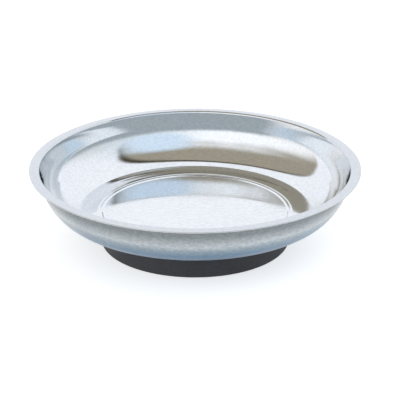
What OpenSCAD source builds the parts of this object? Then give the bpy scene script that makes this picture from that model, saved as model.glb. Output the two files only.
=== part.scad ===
// Round magnetic parts dish.
// A pressed stainless dish stands on a ring magnet that is hidden in a moulded rubber boot.
// The origin is the middle of the face that the boot rests on, and +Z is up.

/* [Rim] */
// Outside diameter of the flat rim
rim_d = 150; // [135:1:170]
// Width of the rim, from its outside edge to the corner of the mouth
rim_w = 4.7; // [3:0.1:8]
// How far the rim falls from the mouth to its outside edge
rim_fall = 0.3; // [0:0.1:1]
// Radius of the bend between the rim and the wall, on the upper face
rim_bend_r = 1.2; // [1:0.1:2]

/* [Wall] */
// Thickness of the steel sheet
sheet_t = 0.6; // [0.4:0.1:0.8]
// Height of the rim's outside edge above the floor
dish_depth = 21.9; // [18:0.1:30]
// Height above the floor at which the wall turns from leaning to upright
knee_h = 11.2; // [9:0.1:14]
// Lean of the upper wall from the vertical, in degrees
wall_draft = 13; // [8:0.5:18]
// Radius of the curve at the knee
knee_r = 17.4; // [8:0.2:24]
// Height above the floor at which the wall turns from shallow to steep
belly_h = 2.8; // [2.2:0.1:4]
// Lean of the wall from the vertical between the belly and the knee, in degrees
wall_lean = 38.8; // [30:0.2:45]
// Radius of the curve at the belly
belly_r = 17.4; // [8:0.2:24]
// Slope of the foot of the wall, in degrees
foot_angle = 17; // [13:0.1:22]
// Radius of the bend between the foot of the wall and the shoulder
heel_r = 14; // [6:0.5:18]

/* [Well] */
// Diameter of the flat floor
floor_d = 82; // [76:0.2:84]
// Height of the small step around the floor
floor_step_h = 0.3; // [0.2:0.01:0.4]
// Width of the small step around the floor
floor_step_w = 1.5; // [1:0.05:2]
// Width of the level ledge above that step
ledge_w = 1.1; // [0.8:0.1:2]
// Width of the second, narrower step, which leads from the ledge up to the crest
ring_w = 0.55; // [0.45:0.05:1.2]
// Slope of the second step, in degrees
ring_angle = 13; // [8:0.5:16]
// Radius of the crest
ring_blend_r = 2.2; // [0.8:0.1:4]
// Slope at which the shoulder falls outwards from the crest, in degrees
shoulder_fall = 4; // [2:0.5:6]
// Radius of the fine corners in the well
well_corner_r = 0.8; // [0.7:0.05:1]

/* [Magnet] */
// Outside diameter of the ring magnet and of its steel plate
magnet_d = 80; // [70:1:88]
// Bore of the ring magnet
magnet_bore_d = 40; // [20:1:50]
// Height of the ring magnet
magnet_t = 8; // [5:0.5:12]
// Thickness of the glue film between the magnet and its plate
film_t = 0.2; // [0.1:0.05:0.4]
// Thickness of the steel plate
plate_t = 3; // [2.4:0.1:5]
// Thickness of the bonding pad between the plate and the dish
pad_t = 0.6; // [0.4:0.1:1.2]

/* [Boot] */
// Thickness of the boot's side wall
boot_wall = 2.5; // [1.6:0.1:4]
// Thickness of the boot's floor
boot_floor_t = 1.6; // [1.2:0.1:3]
// Radius of the boot's lower edge
boot_edge_r = 1; // [0.4:0.1:1.4]
// Bevel of the boot's upper edge
boot_bevel = 0.5; // [0.2:0.1:1]
// Thickness of the lip that hooks over the plate
lip_t = 1.4; // [1:0.1:1.8]
// Reach of the lip over the edge of the plate
lip_reach = 1.2; // [0.8:0.1:2]
// Clearance around the magnet and the plate, and under the dish
boot_clearance = 0.3; // [0.2:0.05:0.5]

/* [Hidden] */

// Steps in the fine corners, in the bends and in the long curves of an outline
corner_steps = 4;
bend_steps = 8;
curve_steps = 14;
// Sides of the turned shapes
$fn = 180;

// Heights of the stack, from the rest face up
magnet_z = boot_floor_t;
film_z = magnet_z + magnet_t;
plate_z = film_z + film_t;
pad_z = plate_z + plate_t;
dish_z = pad_z + pad_t;
floor_z = dish_z + sheet_t;

// The plate's edge is cut back above the level where the lip hooks on
lip_z = pad_z - lip_t;
plate_top_r = magnet_d / 2 - lip_reach;
boot_inner_r = magnet_d / 2 + boot_clearance;
boot_r = boot_inner_r + boot_wall;
boot_lip_r = plate_top_r + boot_clearance;
boot_h = dish_z - boot_clearance;

// Direction of the line from a to b
function heading(a, b) = atan2(b[1] - a[1], b[0] - a[0]);

// How far the line turns at b, on its way from a to c
function turn(a, b, c) = heading(b, c) - heading(a, b);

// Length that a corner rounded to radius r takes off each of its two lines
function trim(a, b, c, r) = r * tan(abs(turn(a, b, c)) / 2);

// Corner at b rounded to radius r: a list of [point, heading]
function rounded(a, b, c, r, steps) =
    let (h0 = heading(a, b), k = turn(a, b, c), start = b - trim(a, b, c, r) * [cos(h0), sin(h0)])
    [for (i = [0 : steps]) let (h = h0 + k * i / steps)
        [start + sign(k) * r * [sin(h) - sin(h0), cos(h0) - cos(h)], h]];

// Points of a path, moved to its right-hand side by d
function beside(path, d) = [for (p = path) p[0] + d * [sin(p[1]), -cos(p[1])]];

// A list, back to front
function backwards(list) = [for (i = [len(list) - 1 : -1 : 0]) list[i]];

// Corners of the dish's upper face, from the middle of the floor out to the rim, as [radius, height]
middle = [0, 0];
floor_edge = [floor_d / 2, 0];
step_top = floor_edge + [floor_step_w, floor_step_h];
ledge_edge = step_top + [ledge_w, 0];
ring_top = ledge_edge + ring_w * [1, tan(ring_angle)];
rim_edge = [rim_d / 2, dish_depth];
mouth = rim_edge + [-rim_w, rim_fall];
knee = [mouth[0] - (mouth[1] - knee_h) * tan(wall_draft), knee_h];
belly = [knee[0] - (knee_h - belly_h) * tan(wall_lean), belly_h];

// The shoulder runs out to where the foot of the wall, on its way down from the belly, meets it
least_shoulder_w = 1;
foot_drop = (belly[0] - ring_top[0]) * tan(foot_angle) - (belly_h - ring_top[1]);
shoulder_w = max(least_shoulder_w, foot_drop / (tan(foot_angle) + tan(shoulder_fall)));
heel = ring_top + shoulder_w * [1, -tan(shoulder_fall)];

// Radius r, or the largest that takes no more than room off each line of the corner at b
function fitted(a, b, c, r, room) = min(r, room / tan(abs(turn(a, b, c)) / 2));

// Each bend leaves room on its two lines for the bends at their other ends
ring_room = min(norm(heel - ring_top) / 2,
                norm(ring_top - ledge_edge) - trim(step_top, ledge_edge, ring_top, well_corner_r));
ring_curve_r = fitted(ledge_edge, ring_top, heel, ring_blend_r, ring_room);
heel_room = min(norm(heel - ring_top), norm(belly - heel)) / 2;
heel_curve_r = fitted(ring_top, heel, belly, heel_r, heel_room);
belly_room = min(norm(belly - heel) - trim(ring_top, heel, belly, heel_curve_r),
                 norm(knee - belly) / 2);
belly_curve_r = fitted(heel, belly, knee, belly_r, belly_room);
knee_room = min(norm(knee - belly) - trim(heel, belly, knee, belly_curve_r),
                norm(mouth - knee) - trim(knee, mouth, rim_edge, rim_bend_r));
knee_curve_r = fitted(belly, knee, mouth, knee_r, knee_room);

dish_path = concat(
    [[middle, 0]],
    rounded(middle, floor_edge, step_top, well_corner_r, corner_steps),
    rounded(floor_edge, step_top, ledge_edge, well_corner_r, corner_steps),
    rounded(step_top, ledge_edge, ring_top, well_corner_r, corner_steps),
    rounded(ledge_edge, ring_top, heel, ring_curve_r, corner_steps),
    rounded(ring_top, heel, belly, heel_curve_r, bend_steps),
    rounded(heel, belly, knee, belly_curve_r, curve_steps),
    rounded(belly, knee, mouth, knee_curve_r, curve_steps),
    rounded(knee, mouth, rim_edge, rim_bend_r, bend_steps),
    [[rim_edge, heading(mouth, rim_edge)]]);

module dish() {
    color("lightsteelblue")
        translate([0, 0, floor_z])
            rotate_extrude()
                polygon(concat(beside(dish_path, 0), backwards(beside(dish_path, sheet_t))));
}

module bonding_pad() {
    color("gainsboro")
        translate([0, 0, pad_z])
            cylinder(h = pad_t, r = plate_top_r);
}

module pole_plate() {
    color("silver")
        translate([0, 0, plate_z]) {
            cylinder(h = plate_t - lip_t, d = magnet_d);
            cylinder(h = plate_t, r = plate_top_r);
        }
}

// A flat ring that stands on height z
module flat_ring(z, h) {
    translate([0, 0, z])
        rotate_extrude()
            translate([magnet_bore_d / 2, 0])
                square([(magnet_d - magnet_bore_d) / 2, h]);
}

module glue_film() {
    color("khaki")
        flat_ring(film_z, film_t);
}

module ring_magnet() {
    color("dimgray")
        flat_ring(magnet_z, magnet_t);
}

module rubber_boot() {
    foot = [boot_r, 0];
    shoulder = [boot_r, boot_h - boot_bevel];
    color([0.2, 0.2, 0.2])
        rotate_extrude()
            polygon(concat(
                [[0, 0]],
                beside(rounded([0, 0], foot, shoulder, boot_edge_r, bend_steps), 0),
                [shoulder, [boot_r - boot_bevel, boot_h], [boot_lip_r, boot_h],
                 [boot_lip_r, lip_z], [boot_inner_r, lip_z],
                 [boot_inner_r, boot_floor_t], [0, boot_floor_t]]));
}

dish();
bonding_pad();
pole_plate();
glue_film();
ring_magnet();
rubber_boot();
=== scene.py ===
"""Round magnetic parts dish: a pressed stainless dish on a ring magnet in a rubber boot.

The dish and the boot are turned again here as smooth meshes with softened edges, and the pieces of
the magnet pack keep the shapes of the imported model. Sizes are in millimetres until they reach a mesh.
"""
import logging
import math
from dataclasses import dataclass, field
from enum import Enum

import bmesh
import bpy
from mathutils import Matrix, Vector


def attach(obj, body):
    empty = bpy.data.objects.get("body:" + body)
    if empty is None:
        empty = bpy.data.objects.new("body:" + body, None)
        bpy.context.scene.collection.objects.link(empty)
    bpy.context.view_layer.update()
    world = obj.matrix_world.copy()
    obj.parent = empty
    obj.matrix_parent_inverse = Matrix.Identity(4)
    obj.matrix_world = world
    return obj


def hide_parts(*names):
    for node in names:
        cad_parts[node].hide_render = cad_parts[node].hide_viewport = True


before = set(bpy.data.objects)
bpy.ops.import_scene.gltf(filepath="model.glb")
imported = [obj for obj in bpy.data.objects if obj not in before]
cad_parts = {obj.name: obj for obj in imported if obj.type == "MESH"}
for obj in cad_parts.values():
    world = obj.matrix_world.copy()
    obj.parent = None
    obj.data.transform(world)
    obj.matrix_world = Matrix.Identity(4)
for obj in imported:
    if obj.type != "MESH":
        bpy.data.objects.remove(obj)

LOG = logging.getLogger("parts_dish")
MM = 0.001
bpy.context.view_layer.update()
MERGE_MM = 0.0005

# Sockets of a Mix node that blends colours: its share, its two colours and its result
SHARE, FIRST, SECOND, BLENDED = 0, 6, 7, 2
# Stretch of a noise's values that most of its area falls in, and of two noises added up
NOISE_LOW, NOISE_HIGH = 0.3, 0.7
SUM_LOW, SUM_HIGH = 0.65, 1.35
# Values of the grain's noise on its crests and in its hollows
CREST, HOLLOW = 0.75, 0.25

Colour = tuple[float, float, float, float]
Socket = bpy.types.NodeSocket


def linear(code: str) -> Colour:
    """Turn an sRGB hex colour into the linear one that a shader takes.

    Args:
        code: The colour as six hex digits after a hash.

    Returns:
        Red, green, blue and an alpha of 1.
    """
    parts = [int(code[i:i + 2], 16) / 255 for i in (1, 3, 5)]
    return (*(p / 12.92 if p <= 0.04045 else ((p + 0.055) / 1.055) ** 2.4 for p in parts), 1.0)


def put(tree: bpy.types.NodeTree, kind: str, inputs: dict[str | int, object] | None = None,
        **settings: object) -> bpy.types.Node:
    """Add a node with its settings, its values and its links.

    Args:
        tree: The node tree that gets the node.
        kind: The node's type name.
        inputs: For each input, by name or number, a socket to link from or a value to set.
        settings: Attributes of the node itself.

    Returns:
        The new node.
    """
    node = tree.nodes.new(kind)
    for name, value in settings.items():
        setattr(node, name, value)
    for key, value in (inputs or {}).items():
        if isinstance(value, Socket):
            tree.links.new(value, node.inputs[key])
        else:
            node.inputs[key].default_value = value
    return node


def blank_material(name: str) -> tuple[bpy.types.Material, bpy.types.NodeTree]:
    """Make a material whose tree is empty.

    Args:
        name: The material's name.

    Returns:
        The material and its tree.
    """
    material = bpy.data.materials.new(name)
    material.use_nodes = True
    material.node_tree.nodes.clear()
    return material, material.node_tree


def per_mm(size: float) -> float:
    """Give the texture scale that draws a feature of the given size in millimetres."""
    return 1.0 / (size * MM)


class Side(Enum):
    """The two faces of the pressed sheet, by their place in the dish's list of materials."""

    INSIDE = 0
    OUTSIDE = 1


@dataclass(frozen=True)
class SheetSteel:
    """Bright cold-rolled stainless sheet: cool, mirror-like, and a little uneven where it was drawn.

    Attributes:
        name: The material's name.
        tint_and_painted_light_bands: Height and colour of each band, lowest first; on the outside, painted
            reflection and shade.
        haze_tint: Colour that hazy spots are multiplied by.
        polish: Roughness of the clean metal.
        haze: Roughness where the polish is hazy.
        haze_mm: Size of the hazy patches.
        swell_mm: Length of the slow waves that drawing leaves in the sheet.
        swell_depth_mm: Depth of those waves.
        grain_mm: Width of the rolling grain. The real one is a few hundredths wide.
        grain_run_mm: Length of one line of the grain.
        grain_depth_mm: Depth of the grain.
        grain_tint: Colour that the hollows of the grain are multiplied by.
    """

    name: str
    tint_and_painted_light_bands: tuple[tuple[float, str], ...] = ((14.0, "#F3F4F5"), (34.8, "#F1F3F5"), (35.8, "#E0E2E4"))
    haze_tint: str = "#F6F7F8"
    polish: float = 0.05
    haze: float = 0.10
    haze_mm: float = 22.0
    swell_mm: float = 26.0
    swell_depth_mm: float = 0.04
    grain_mm: float = 0.9
    grain_run_mm: float = 1.8
    grain_depth_mm: float = 0.0004
    grain_tint: str = "#EFF0F1"

    def material(self) -> bpy.types.Material:
        """Build the sheet's material.

        Returns:
            The material, on Object coordinates.
        """
        material, tree = blank_material(self.name)
        place = put(tree, "ShaderNodeTexCoord").outputs["Object"]
        haze = put(tree, "ShaderNodeTexNoise",
                   {"Vector": place, "Scale": per_mm(self.haze_mm), "Detail": 3.0}).outputs["Fac"]
        swell = put(tree, "ShaderNodeTexNoise",
                    {"Vector": place, "Scale": per_mm(self.swell_mm), "Detail": 0.5}).outputs["Fac"]
        # The grain is drawn far wider than it is, or it would be lost between two pixels.
        along = put(tree, "ShaderNodeMapping",
                    {"Vector": place, "Scale": (self.grain_mm / self.grain_run_mm, 1.0, 1.0)})
        grain = put(tree, "ShaderNodeTexNoise",
                    {"Vector": along.outputs["Vector"], "Scale": per_mm(self.grain_mm), "Detail": 1.0})
        hollow = put(tree, "ShaderNodeMapRange",
                     {"Value": grain.outputs["Fac"], "From Min": CREST, "From Max": HOLLOW})
        wavy = put(tree, "ShaderNodeBump", {"Height": swell, "Distance": self.swell_depth_mm * MM})
        grained = put(tree, "ShaderNodeBump",
                      {"Height": grain.outputs["Fac"], "Distance": self.grain_depth_mm * MM,
                       "Normal": wavy.outputs["Normal"]})
        # The colour by height is the base; on the outside it holds painted reflection and shade.
        tint = put(tree, "ShaderNodeMix",
                   {SHARE: haze, FIRST: self.banded(tree, place), SECOND: linear(self.haze_tint)},
                   data_type="RGBA", blend_type="MULTIPLY")
        tint = put(tree, "ShaderNodeMix",
                   {SHARE: hollow.outputs["Result"], FIRST: tint.outputs[BLENDED],
                    SECOND: linear(self.grain_tint)}, data_type="RGBA", blend_type="MULTIPLY")
        rough = put(tree, "ShaderNodeMapRange",
                    {"Value": haze, "From Min": NOISE_LOW, "From Max": NOISE_HIGH,
                     "To Min": self.polish, "To Max": self.haze}, interpolation_type="SMOOTHSTEP")
        shader = put(tree, "ShaderNodeBsdfPrincipled",
                     {"Base Color": tint.outputs[BLENDED], "Metallic": 1.0,
                      "Roughness": rough.outputs["Result"], "Normal": grained.outputs["Normal"]})
        put(tree, "ShaderNodeOutputMaterial", {"Surface": shader.outputs["BSDF"]})
        return material

    def banded(self, tree: bpy.types.NodeTree, place: Socket) -> Socket:
        """Blend the band colours by height, which on the outside are painted reflection and shade.

        Args:
            tree: The material's tree.
            place: Object coordinates.

        Returns:
            The colour.
        """
        low, high = self.tint_and_painted_light_bands[0][0], self.tint_and_painted_light_bands[-1][0]
        height = put(tree, "ShaderNodeSeparateXYZ", {0: place}).outputs["Z"]
        share = put(tree, "ShaderNodeMapRange",
                    {"Value": height, "From Min": low * MM, "From Max": high * MM}).outputs["Result"]
        ramp = put(tree, "ShaderNodeValToRGB", {"Fac": share})
        stops = ramp.color_ramp.elements
        for number, (z, code) in enumerate(self.tint_and_painted_light_bands):
            stop = stops[number] if number < len(stops) else stops.new(1.0)
            stop.position = (z - low) / (high - low)
            stop.color = linear(code)
        return ramp.outputs["Color"]


@dataclass(frozen=True)
class SpeckledSolid:
    """A dull, fine-grained solid with a broad drift of tone: rubber, ferrite, plate, glue or pad.

    Attributes:
        name: The material's name.
        dark: Colour of the low spots.
        light: Colour of the high spots.
        grit_mm: Size of the grain, drawn as coarse as it needs to show.
        grit_depth_mm: Depth of the grain.
        drift_mm: Size of the broad patches of tone and gloss.
        gloss: Roughness in the smoothest patches.
        matt: Roughness in the dullest patches.
        metallic: 1 for a metal, else 0.
    """

    name: str
    dark: str
    light: str
    grit_mm: float
    grit_depth_mm: float
    drift_mm: float
    gloss: float
    matt: float
    metallic: float = 0.0

    def material(self) -> bpy.types.Material:
        """Build the solid's material.

        Returns:
            The material, on Object coordinates.
        """
        material, tree = blank_material(self.name)
        place = put(tree, "ShaderNodeTexCoord").outputs["Object"]
        grit = put(tree, "ShaderNodeTexNoise",
                   {"Vector": place, "Scale": per_mm(self.grit_mm), "Detail": 4.0}).outputs["Fac"]
        drift = put(tree, "ShaderNodeTexNoise",
                    {"Vector": place, "Scale": per_mm(self.drift_mm), "Detail": 3.0}).outputs["Fac"]
        both = put(tree, "ShaderNodeMath", {0: grit, 1: drift}, operation="ADD")
        tone = put(tree, "ShaderNodeMapRange",
                   {"Value": both.outputs[0], "From Min": SUM_LOW, "From Max": SUM_HIGH})
        colour = put(tree, "ShaderNodeMix",
                     {SHARE: tone.outputs["Result"], FIRST: linear(self.dark),
                      SECOND: linear(self.light)}, data_type="RGBA")
        rough = put(tree, "ShaderNodeMapRange",
                    {"Value": drift, "From Min": NOISE_LOW, "From Max": NOISE_HIGH,
                     "To Min": self.gloss, "To Max": self.matt})
        bumpy = put(tree, "ShaderNodeBump", {"Height": grit, "Distance": self.grit_depth_mm * MM})
        shader = put(tree, "ShaderNodeBsdfPrincipled",
                     {"Base Color": colour.outputs[BLENDED], "Metallic": self.metallic,
                      "Roughness": rough.outputs["Result"], "Normal": bumpy.outputs["Normal"]})
        put(tree, "ShaderNodeOutputMaterial", {"Surface": shader.outputs["BSDF"]})
        return material


@dataclass(frozen=True)
class SweepPaper:
    """Matt white background paper, seen as plain white and still taking the object's shadow.

    Attributes:
        name: The material's name.
        white: Colour of the paper.
        shade: Colour of its faint mottle.
        mottle_mm: Size of that mottle.
        lift: Light that the paper adds for what looks at it, and not for what it lights.
    """

    name: str = "matt_sweep_paper"
    white: str = "#F7F4F0"
    shade: str = "#F4F1ED"
    mottle_mm: float = 60.0
    lift: float = 0.62

    def material(self) -> bpy.types.Material:
        """Build the paper's material.

        Returns:
            The material, on Object coordinates.
        """
        material, tree = blank_material(self.name)
        place = put(tree, "ShaderNodeTexCoord").outputs["Object"]
        mottle = put(tree, "ShaderNodeTexNoise", {"Vector": place, "Scale": per_mm(self.mottle_mm)})
        colour = put(tree, "ShaderNodeMix",
                     {SHARE: mottle.outputs["Fac"], FIRST: linear(self.white),
                      SECOND: linear(self.shade)}, data_type="RGBA")
        diffuse = put(tree, "ShaderNodeBsdfDiffuse", {"Color": colour.outputs[BLENDED]})
        ray = put(tree, "ShaderNodeLightPath").outputs
        seen = put(tree, "ShaderNodeMath", {0: ray["Is Camera Ray"], 1: ray["Is Glossy Ray"]},
                   operation="ADD")
        seen = put(tree, "ShaderNodeMath", {0: seen.outputs[0], 1: ray["Is Transmission Ray"]},
                   operation="ADD", use_clamp=True)
        lift = put(tree, "ShaderNodeMath", {0: seen.outputs[0], 1: self.lift}, operation="MULTIPLY")
        glow = put(tree, "ShaderNodeEmission", {"Strength": lift.outputs[0]})
        both = put(tree, "ShaderNodeAddShader",
                   {0: diffuse.outputs["BSDF"], 1: glow.outputs["Emission"]})
        put(tree, "ShaderNodeOutputMaterial", {"Surface": both.outputs["Shader"]})
        return material


@dataclass(frozen=True)
class Bend:
    """A rounded corner of an outline, in the plane of X and Z.

    Attributes:
        start: Where the corner begins.
        centre: Middle of its arc.
        heading: Direction in which the line arrives, in radians from +X towards +Z.
        turn: How far the line turns, positive to the left.
        steps: Edges that draw the arc.
    """

    start: Vector
    centre: Vector
    heading: float
    turn: float
    steps: int

    @classmethod
    def at(cls, before: Vector, corner: Vector, after: Vector, radius: float, steps: int) -> "Bend":
        """Round the corner between two lines.

        Args:
            before: A point of the line that arrives.
            corner: Where the two lines meet.
            after: A point of the line that leaves.
            radius: Radius of the arc.
            steps: Edges that draw the arc.

        Returns:
            The bend.
        """
        heading = direction(before, corner)
        turn = direction(corner, after) - heading
        start = corner - ahead(heading) * radius * math.tan(abs(turn) / 2)
        centre = start - to_right(heading) * math.copysign(radius, turn)
        return cls(start, centre, heading, turn, steps)

    def end(self) -> Vector:
        """Give the point where the corner ends."""
        return self.centre + Matrix.Rotation(-self.turn, 3, "Y") @ (self.start - self.centre)


def direction(a: Vector, b: Vector) -> float:
    """Give the heading of the line from a to b, in radians from +X towards +Z."""
    return math.atan2(b.z - a.z, b.x - a.x)


def ahead(heading: float) -> Vector:
    """Give the unit step along a heading."""
    return Vector((math.cos(heading), 0.0, math.sin(heading)))


def to_right(heading: float) -> Vector:
    """Give the unit step to the right-hand side of a heading."""
    return Vector((math.sin(heading), 0.0, -math.cos(heading)))


def slope(degrees: float) -> float:
    """Give how far a line at an angle goes aside for each unit that it goes on."""
    return math.tan(math.radians(degrees))


def spot(radius: float, height: float) -> Vector:
    """Give the point of an outline at a radius and a height, both in millimetres."""
    return Vector((radius, 0.0, height))


class Outline:
    """A line drawn in the plane of X and Z, which a full spin about Z then turns into a solid."""

    def __init__(self, start: Vector) -> None:
        """Set the pen down.

        Args:
            start: The first point.
        """
        self.mesh = bmesh.new()
        self.tip = bmesh.ops.create_vert(self.mesh, co=start)["vert"][0]

    def line(self, end: Vector, steps: int = 1) -> None:
        """Draw a straight stretch.

        Args:
            end: Where it ends.
            steps: Edges that draw it.
        """
        step = (end - self.tip.co) / steps
        for _ in range(steps):
            self.tip = bmesh.ops.extrude_vert_indiv(self.mesh, verts=[self.tip])["verts"][0]
            bmesh.ops.translate(self.mesh, vec=step, verts=[self.tip])

    def arc(self, centre: Vector, turn: float, steps: int) -> None:
        """Draw an arc.

        Args:
            centre: Middle of the arc.
            turn: How far it turns, positive to the left.
            steps: Edges that draw it.
        """
        last = bmesh.ops.spin(self.mesh, geom=[self.tip], cent=centre, axis=(0.0, 1.0, 0.0),
                              angle=-turn, steps=steps)["geom_last"]
        self.tip = last[0]

    def turned(self, name: str, sides: int) -> bpy.types.Object:
        """Turn the line into a closed solid.

        Args:
            name: The object's name.
            sides: Sides of the full turn.

        Returns:
            The solid, in metres, shaded smooth.
        """
        bm = self.mesh
        bmesh.ops.spin(bm, geom=bm.verts[:] + bm.edges[:], cent=(0.0, 0.0, 0.0), axis=(0.0, 0.0, 1.0),
                       angle=math.tau, steps=sides, use_merge=True)
        bmesh.ops.remove_doubles(bm, verts=bm.verts[:], dist=MERGE_MM)
        bmesh.ops.recalc_face_normals(bm, faces=bm.faces[:])
        bmesh.ops.scale(bm, vec=(MM, MM, MM), verts=bm.verts[:])
        for face in bm.faces:
            face.smooth = True
        mesh = bpy.data.meshes.new(name)
        bm.to_mesh(mesh)
        bm.free()
        piece = bpy.data.objects.new(name, mesh)
        bpy.context.scene.collection.objects.link(piece)
        return piece


@dataclass
class PressedDish:
    """The pressed dish: a flat floor, two fine steps, a shoulder, a curved wall and a flat rim.

    Lengths are in millimetres and angles in degrees, under the names that the part's source gives them.
    """

    # Rim
    rim_d: float = 150.0
    rim_w: float = 4.7
    rim_fall: float = 0.3
    rim_bend_r: float = 1.2
    # Wall
    sheet_t: float = 0.6
    dish_depth: float = 21.9
    knee_h: float = 11.2
    wall_draft: float = 13.0
    knee_r: float = 17.4
    belly_h: float = 2.8
    wall_lean: float = 38.8
    belly_r: float = 17.4
    foot_angle: float = 17.0
    heel_r: float = 14.0
    # Well. The face of the floor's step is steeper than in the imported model, where the floor is 82 mm
    # across and the step 1.5 mm wide, so that its bright line is fine. The step's top is where it is there.
    floor_d: float = 83.4
    floor_step_h: float = 0.3
    floor_step_w: float = 0.8
    ledge_w: float = 1.1
    ring_w: float = 0.55
    ring_angle: float = 13.0
    ring_blend_r: float = 2.2
    shoulder_fall: float = 4.0
    well_corner_r: float = 0.8
    floor_z: float = 14.0
    # Fineness of the mesh
    corner_steps: int = 6
    bend_steps: int = 16
    rim_steps: int = 8
    curve_steps: int = 24
    floor_steps: int = 12
    line_steps: int = 3
    edge_steps: int = 8
    sides: int = 288
    # Buffed stainless: a clear, cool mirror, which slow waves of the sheet bend a little
    inside: SheetSteel = SheetSteel("stainless_buffed_inside")
    # Stainless as it leaves the press: a duller sheen, with reflection and shade painted in by height
    outside: SheetSteel = SheetSteel(
        "stainless_outside_painted_reflection", polish=0.24, haze=0.32, swell_depth_mm=0.0, grain_depth_mm=0.0,
        grain_tint="#DDDFE1",
        # Painted: bluer and darker towards the base, a pale reflection at mid-height, darker shade under
        # the rim
        tint_and_painted_light_bands=((16.0, "#4F708E"), (20.0, "#708DA5"), (23.0, "#98A6B0"), (26.0, "#C5CBCF"),
               (28.5, "#ABB1B5"), (31.0, "#8D9397"), (34.5, "#828688")))

    def bends(self) -> list[Bend]:
        """Work out the corners of the upper face, from the floor to the rim.

        Returns:
            The bends, in order.
        """
        middle = spot(0.0, self.floor_z)
        floor_edge = spot(self.floor_d / 2, self.floor_z)
        step_top = floor_edge + spot(self.floor_step_w, self.floor_step_h)
        ledge_edge = step_top + spot(self.ledge_w, 0.0)
        ring_top = ledge_edge + spot(self.ring_w, self.ring_w * slope(self.ring_angle))
        rim_edge = self.rim_edge()
        mouth = rim_edge + spot(-self.rim_w, self.rim_fall)
        down = mouth.z - self.floor_z - self.knee_h
        knee = mouth - spot(down * slope(self.wall_draft), down)
        down = self.knee_h - self.belly_h
        belly = knee - spot(down * slope(self.wall_lean), down)
        # The shoulder runs out to where it meets the foot of the wall, which comes down from the belly.
        foot, fall = slope(self.foot_angle), slope(self.shoulder_fall)
        drop = (belly.x - ring_top.x) * foot - (belly.z - ring_top.z)
        run = drop / (foot + fall)
        heel = ring_top + spot(run, -run * fall)
        fine, steps = self.well_corner_r, self.corner_steps
        return [
            Bend.at(middle, floor_edge, step_top, fine, steps),
            Bend.at(floor_edge, step_top, ledge_edge, fine, steps),
            Bend.at(step_top, ledge_edge, ring_top, fine, steps),
            Bend.at(ledge_edge, ring_top, heel, self.ring_blend_r, steps),
            Bend.at(ring_top, heel, belly, self.heel_r, self.bend_steps),
            Bend.at(heel, belly, knee, self.belly_r, self.curve_steps),
            Bend.at(belly, knee, mouth, self.knee_r, self.curve_steps),
            Bend.at(knee, mouth, rim_edge, self.rim_bend_r, self.rim_steps),
        ]

    def rim_edge(self) -> Vector:
        """Give the upper outside corner of the rim."""
        return spot(self.rim_d / 2, self.floor_z + self.dish_depth)

    def build(self) -> bpy.types.Object:
        """Draw both faces of the sheet in one closed outline and turn it.

        Returns:
            The dish.
        """
        bends = self.bends()
        pen = Outline(spot(0.0, self.floor_z))
        for number, bend in enumerate(bends):
            pen.line(bend.start, self.line_steps if number else self.floor_steps)
            pen.arc(bend.centre, bend.turn, bend.steps)
        # The cut edge of the rim is rounded over half the sheet's thickness.
        last = bends[-1].heading + bends[-1].turn
        half = self.sheet_t / 2
        brink = self.rim_edge() - ahead(last) * half
        pen.line(brink, self.line_steps)
        pen.arc(brink + to_right(last) * half, -math.pi, self.edge_steps)
        for number, bend in reversed(list(enumerate(bends))):
            below = to_right(bend.heading + bend.turn) * self.sheet_t
            pen.line(bend.end() + below, self.line_steps)
            pen.arc(bend.centre, -bend.turn, bend.steps)
        pen.line(spot(0.0, self.floor_z - self.sheet_t), self.floor_steps)
        dish = pen.turned("pressed_dish", self.sides)
        self.dress(dish)
        return dish

    def dress(self, dish: bpy.types.Object) -> None:
        """Give the inside its buffed finish and the outside its duller one, with its painted reflection and
        shade.

        Args:
            dish: The turned dish.
        """
        for steel in (self.inside, self.outside):
            dish.data.materials.append(steel.material())
        # Each face of the inside looks up a little, and each face of the outside looks down.
        for face in dish.data.polygons:
            side = Side.OUTSIDE if face.normal.z < 0 else Side.INSIDE
            face.material_index = side.value
        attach(dish, "root")
        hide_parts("dish")


@dataclass
class RubberBoot:
    """The moulded boot around the magnet: a flat foot, a straight side and a lip over the plate."""

    outside_d: float = 85.6
    height: float = 13.1
    floor_t: float = 1.6
    inside_d: float = 80.6
    lip_d: float = 78.2
    lip_z: float = 11.4
    foot_r: float = 1.0
    top_r: float = 0.6
    steps: int = 8
    line_steps: int = 4
    sides: int = 240
    # Matt moulded rubber: near black, with a fine grit and a broad, weak sheen
    rubber: SpeckledSolid = SpeckledSolid(
        "moulded_rubber_matt", dark="#38383A", light="#47474A", grit_mm=0.9, grit_depth_mm=0.03,
        drift_mm=14.0, gloss=0.55, matt=0.75)

    def build(self) -> bpy.types.Object:
        """Draw the boot's section and turn it.

        Returns:
            The boot.
        """
        outer = self.outside_d / 2
        foot, top = spot(outer, 0.0), spot(outer, self.height)
        lip = spot(self.lip_d / 2, self.height)
        pen = Outline(spot(0.0, 0.0))
        for bend in (Bend.at(spot(0.0, 0.0), foot, top, self.foot_r, self.steps),
                     Bend.at(foot, top, lip, self.top_r, self.steps)):
            pen.line(bend.start, self.line_steps)
            pen.arc(bend.centre, bend.turn, bend.steps)
        for point in (lip, spot(self.lip_d / 2, self.lip_z), spot(self.inside_d / 2, self.lip_z),
                      spot(self.inside_d / 2, self.floor_t), spot(0.0, self.floor_t)):
            pen.line(point)
        boot = pen.turned("moulded_boot", self.sides)
        self.dress(boot)
        return boot

    def dress(self, boot: bpy.types.Object) -> None:
        """Give the boot its rubber.

        Args:
            boot: The turned boot.
        """
        boot.data.materials.append(self.rubber.material())
        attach(boot, "root")
        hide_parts("rubber_boot")


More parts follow.
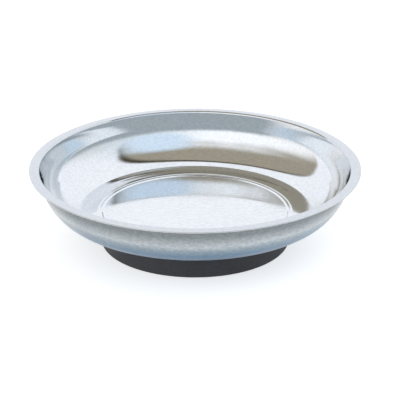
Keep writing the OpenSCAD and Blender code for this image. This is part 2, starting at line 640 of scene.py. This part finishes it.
@dataclass
class MagnetPack:
    """The pieces hidden in the boot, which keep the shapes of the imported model."""

    finishes: dict[str, SpeckledSolid] = field(default_factory=lambda: {
        # Die-cut acrylic foam: white, soft and dull
        "bonding_pad": SpeckledSolid(
            "acrylic_foam_pad", dark="#DADADA", light="#ECECEA", grit_mm=0.7, grit_depth_mm=0.03,
            drift_mm=12.0, gloss=0.55, matt=0.7),
        # Plain rolled steel: a pale grey metal with a cloudy sheen
        "pole_plate": SpeckledSolid(
            "rolled_mild_steel", dark="#A9ABAE", light="#C2C4C6", grit_mm=1.2, grit_depth_mm=0.004,
            drift_mm=9.0, gloss=0.28, matt=0.42, metallic=1.0),
        # Cured epoxy: straw-coloured and glossy
        "glue_film": SpeckledSolid(
            "cured_epoxy", dark="#B9AC86", light="#CFC4A0", grit_mm=0.8, grit_depth_mm=0.01,
            drift_mm=8.0, gloss=0.2, matt=0.35),
        # Ground sintered ferrite: dark grey and stony, with a faint shine
        "ring_magnet": SpeckledSolid(
            "sintered_ferrite", dark="#37383A", light="#4A4B4E", grit_mm=0.6, grit_depth_mm=0.02,
            drift_mm=10.0, gloss=0.45, matt=0.6),
    })

    def dress(self) -> list[str]:
        """Give each piece of the pack its own material.

        Returns:
            The names of the pieces.
        """
        for node, finish in self.finishes.items():
            material = finish.material()
            for place in bpy.data.objects[node].material_slots:
                place.material = material
        return list(self.finishes)


@dataclass(frozen=True)
class Card:
    """A soft-edged region of the studio, on one side of a plane through the sky.

    Attributes:
        facing: Direction in which the region lies.
        reach: Cosine to that direction at which the region begins.
        edge: Half width of its soft edge, as a cosine.
        colour: Colour of its light.
        strength: Strength of its light.
        waver: How far its edge strays from the plane, as a cosine.
    """

    facing: tuple[float, float, float]
    reach: float
    edge: float
    colour: str
    strength: float = 1.0
    waver: float = 0.0


@dataclass
class Studio:
    """Floor, surrounding light and camera."""

    ceiling: str = "#A9A292"
    cards: tuple[Card, ...] = (
        # dark gap between the ceiling and the sweep
        Card((0.45, 0.7, -0.555), -0.235, 0.045, "#45402F"),
        # white sweep behind
        Card((0.374, 0.611, -0.698), -0.31, 0.035, "#F6F9FF", 1.12),
        # softbox in front, overhead, its dimmer end and a bluer stretch of it
        Card((-0.193, -0.766, -0.613), -0.105, 0.25, "#F8FBFF", 1.25, 0.07),
        Card((0.746, -0.632, 0.211), 0.837, 0.35, "#D8E4EB"),
        Card((0.423, -0.583, 0.694), 0.92, 0.06, "#DCEEFF", 1.08),
        # pale wall on the right
        Card((0.996, -0.01, -0.091), 0.898, 0.16, "#DEE2E4"),
        # cool, dimmer surroundings low in front
        Card((0.05, -0.16, -0.986), -0.16, 0.1, "#A9B2B8", 1.0, 0.04),
        # pale wall on the left
        Card((-0.987, -0.086, 0.133), 0.945, 0.11, "#FFFEFF", 1.15),
    )
    waver_scale: float = 3.5
    paper: SweepPaper = SweepPaper()
    floor_half_mm: float = 6000.0
    floor_cells: int = 4
    floor_drop_mm: float = 0.05
    rim_height_mm: float = 35.9
    camera_distance_mm: float = 1000.0
    camera_elevation: float = 21.93
    sensor_mm: float = 36.0
    image_px: float = 400.0
    focal_px: float = 2215.4
    rim_centre_px: tuple[float, float] = (195.1, 166.2)

    def lay_floor(self) -> bpy.types.Object:
        """Lay the paper that the object stands on.

        Returns:
            The floor.
        """
        bm = bmesh.new()
        bmesh.ops.create_grid(bm, x_segments=self.floor_cells, y_segments=self.floor_cells,
                              size=self.floor_half_mm * MM)
        # It lies just under the boot, so that the two faces don't flicker through each other.
        bmesh.ops.translate(bm, vec=(0.0, 0.0, -self.floor_drop_mm * MM), verts=bm.verts[:])
        mesh = bpy.data.meshes.new("sweep_floor")
        bm.to_mesh(mesh)
        bm.free()
        floor = bpy.data.objects.new("sweep_floor", mesh)
        bpy.context.scene.collection.objects.link(floor)
        mesh.materials.append(self.paper.material())
        return floor

    def light(self) -> None:
        """Surround the object with a soft studio of pale cards under a dim ceiling."""
        world = bpy.data.worlds.new("soft_studio")
        bpy.context.scene.world = world
        world.use_nodes = True
        tree = world.node_tree
        tree.nodes.clear()
        sky = put(tree, "ShaderNodeTexCoord").outputs["Generated"]
        stray = put(tree, "ShaderNodeTexNoise", {"Vector": sky, "Scale": self.waver_scale, "Detail": 1.0})
        stray = put(tree, "ShaderNodeMapRange", {"Value": stray.outputs["Fac"], "To Min": -1.0})
        shown = put(tree, "ShaderNodeBackground", {"Color": linear(self.ceiling)}).outputs[0]
        for card in self.cards:
            along = put(tree, "ShaderNodeVectorMath", {0: sky, 1: card.facing}, operation="DOT_PRODUCT")
            along = put(tree, "ShaderNodeMath",
                        {0: stray.outputs["Result"], 1: card.waver, 2: along.outputs["Value"]},
                        operation="MULTIPLY_ADD")
            share = put(tree, "ShaderNodeMapRange",
                        {"Value": along.outputs[0], "From Min": card.reach - card.edge,
                         "From Max": card.reach + card.edge}, interpolation_type="SMOOTHSTEP")
            glow = put(tree, "ShaderNodeBackground",
                       {"Color": linear(card.colour), "Strength": card.strength})
            shown = put(tree, "ShaderNodeMixShader",
                        {0: share.outputs["Result"], 1: shown, 2: glow.outputs[0]}).outputs[0]
        put(tree, "ShaderNodeOutputWorld", {"Surface": shown})

    def place_camera(self) -> bpy.types.Object:
        """Stand the camera in front, a little above, with the rim's middle at its place in the picture.

        Returns:
            The camera.
        """
        tilt = math.radians(self.camera_elevation)
        back = Vector((0.0, -math.cos(tilt), math.sin(tilt)))
        right = Vector((1.0, 0.0, 0.0))
        up = back.cross(right)
        middle = self.image_px / 2
        aim = (-back * self.focal_px + right * (middle - self.rim_centre_px[0])
               - up * (middle - self.rim_centre_px[1]))
        data = bpy.data.cameras.new("view")
        data.sensor_width = self.sensor_mm
        data.lens = self.sensor_mm * self.focal_px / self.image_px
        camera = bpy.data.objects.new("view", data)
        camera.location = Vector((0.0, 0.0, self.rim_height_mm * MM)) + back * self.camera_distance_mm * MM
        camera.rotation_euler = aim.to_track_quat("-Z", "Y").to_euler()
        bpy.context.scene.collection.objects.link(camera)
        bpy.context.scene.camera = camera
        return camera


def main() -> None:
    """Build the studio and the dish, piece by piece."""
    logging.basicConfig(level=logging.INFO, format="%(name)s: %(message)s")
    bpy.context.scene.view_settings.view_transform = "Standard"
    studio = Studio()
    studio.place_camera()
    studio.light()
    LOG.info("studio: %s", studio.lay_floor().name)
    for part in (PressedDish(), RubberBoot()):
        LOG.info("turned: %s", part.build().name)
    LOG.info("dressed: %s", ", ".join(MagnetPack().dress()))


if __name__ == "__main__":
    main()
